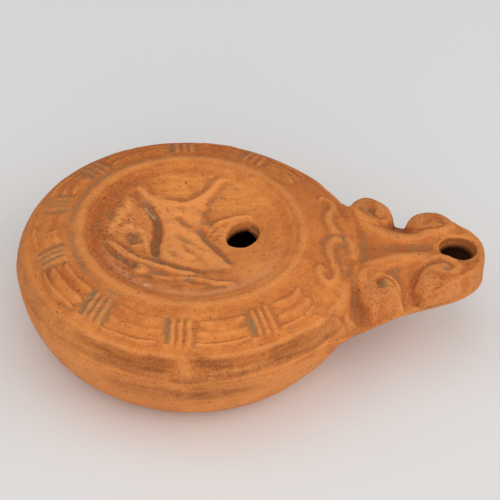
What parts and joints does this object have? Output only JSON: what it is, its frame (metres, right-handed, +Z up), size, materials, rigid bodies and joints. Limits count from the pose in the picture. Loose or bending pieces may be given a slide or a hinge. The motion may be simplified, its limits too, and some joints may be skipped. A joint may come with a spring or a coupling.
{
  "type": "roman oil lamp",
  "caption": "Low round terracotta oil lamp with a dished top, a garlanded shoulder and a short voluted nozzle; hollow, with a filling hole and a wick hole.",
  "frame": {"origin": "centre of the flat base, on the axis of the round bowl", "axes": "+X from the bowl's axis out along the nozzle, +Y to the far side, +Z up"},
  "size_m": [0.107, 0.0804, 0.0282],
  "materials": {
    "terracotta": "matt unglazed orange terracotta, worn, with grey-green deposit in the hollows"
  },
  "bodies": {
    "root": {"lamp_body": "terracotta"}
  },
  "joints": []
}
